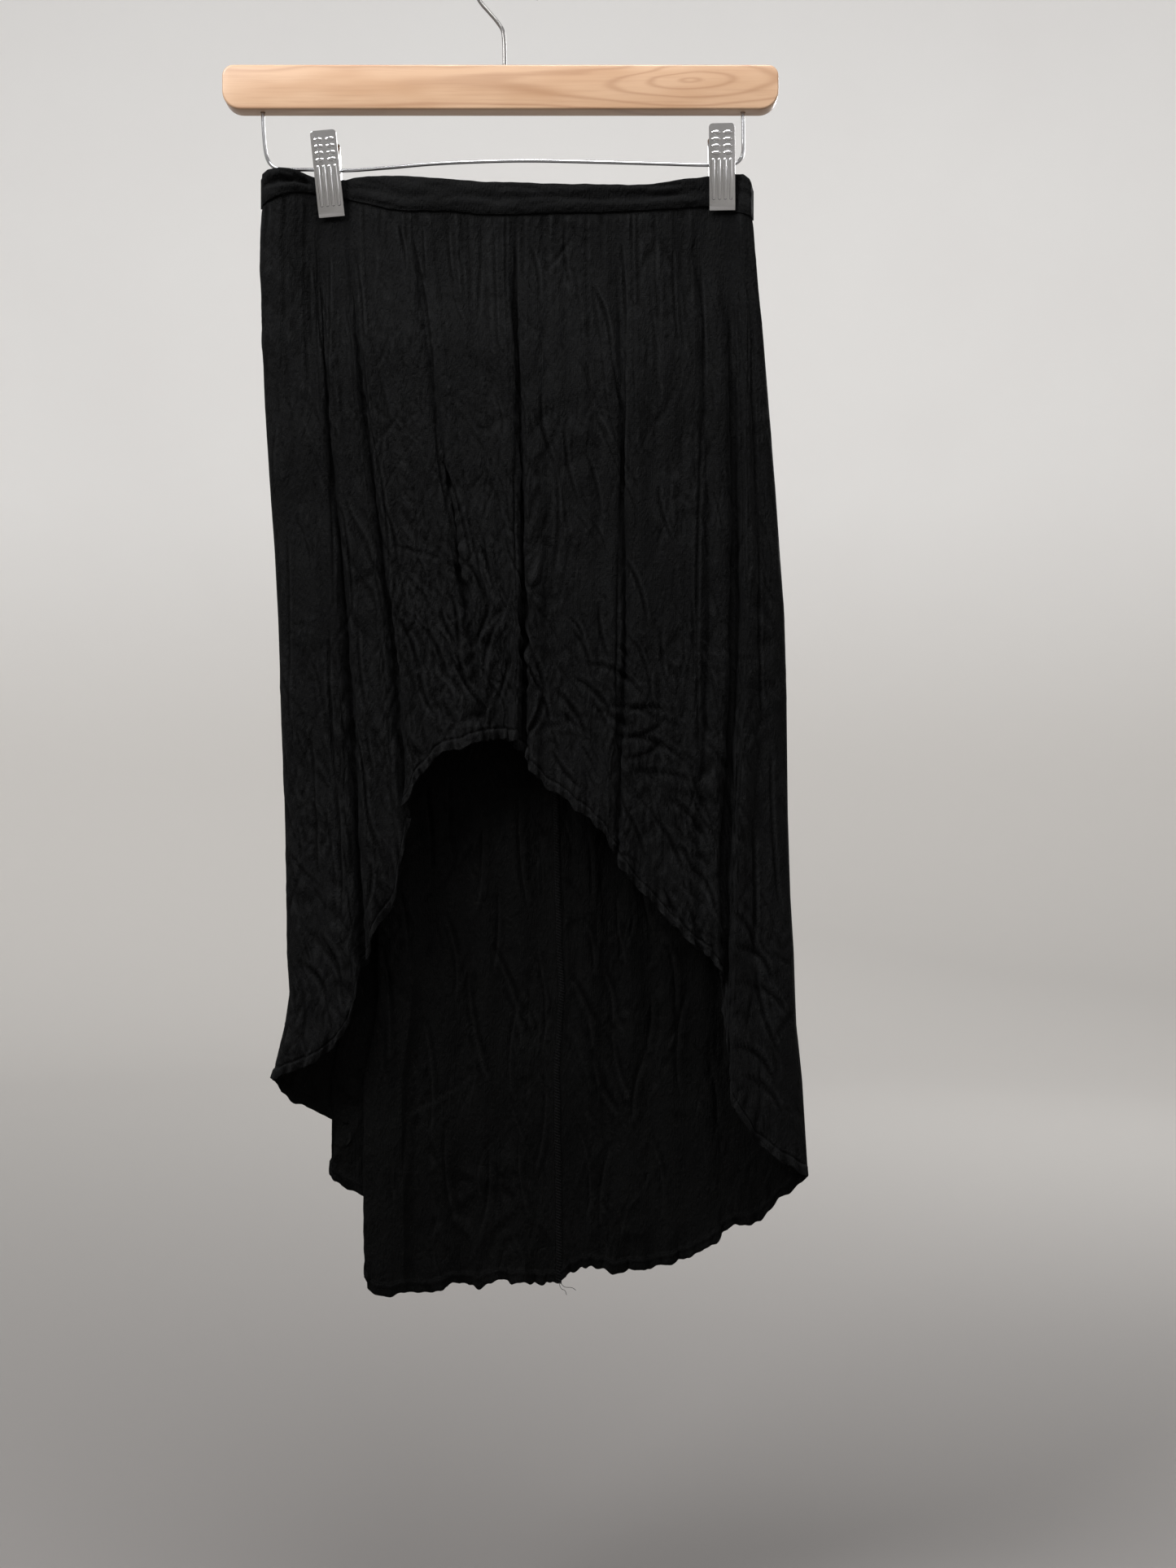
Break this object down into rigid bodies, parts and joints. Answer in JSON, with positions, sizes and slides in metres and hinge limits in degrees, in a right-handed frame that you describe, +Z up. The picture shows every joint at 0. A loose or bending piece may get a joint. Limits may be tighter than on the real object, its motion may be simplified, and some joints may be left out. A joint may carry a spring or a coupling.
{
  "type": "asymmetric skirt on a clip hanger",
  "caption": "Gathered black skirt, short in front and long at the back, hanging open from a wooden bar hanger by two metal clips.",
  "frame": {"origin": "seat of the hook: the inner top of its loop, where it rests on a rod", "axes": "+X to the right as the front is seen, +Y to the back, +Z up along the length of the skirt"},
  "size_m": [0.3723, 0.0462, 0.8594],
  "materials": {
    "maple_wood": "clear satin lacquer over straight to arched grain",
    "dark_steel": "plain drawn wire",
    "chrome_wire": "bright plated wire",
    "chrome_plate": "pressed and plated sheet",
    "black_jersey": "soft crumpled viscose jersey, matt with a faint sheen",
    "black_thread": "overlocked thread"
  },
  "bodies": {
    "root": {"hanger_bar": "maple_wood", "hanger_hook": "dark_steel", "hanger_wire": "chrome_wire", "clip_left_front": "chrome_plate", "clip_left_back": "chrome_plate", "clip_left_spring": "dark_steel", "clip_right_front": "chrome_plate", "clip_right_back": "chrome_plate", "clip_right_spring": "dark_steel", "waistband_front": "black_jersey", "waistband_back": "black_jersey", "skirt_front": "black_jersey", "skirt_back_left": "black_jersey", "skirt_back_right": "black_jersey", "centre_back_seam": "black_thread"}
  },
  "joints": []
}
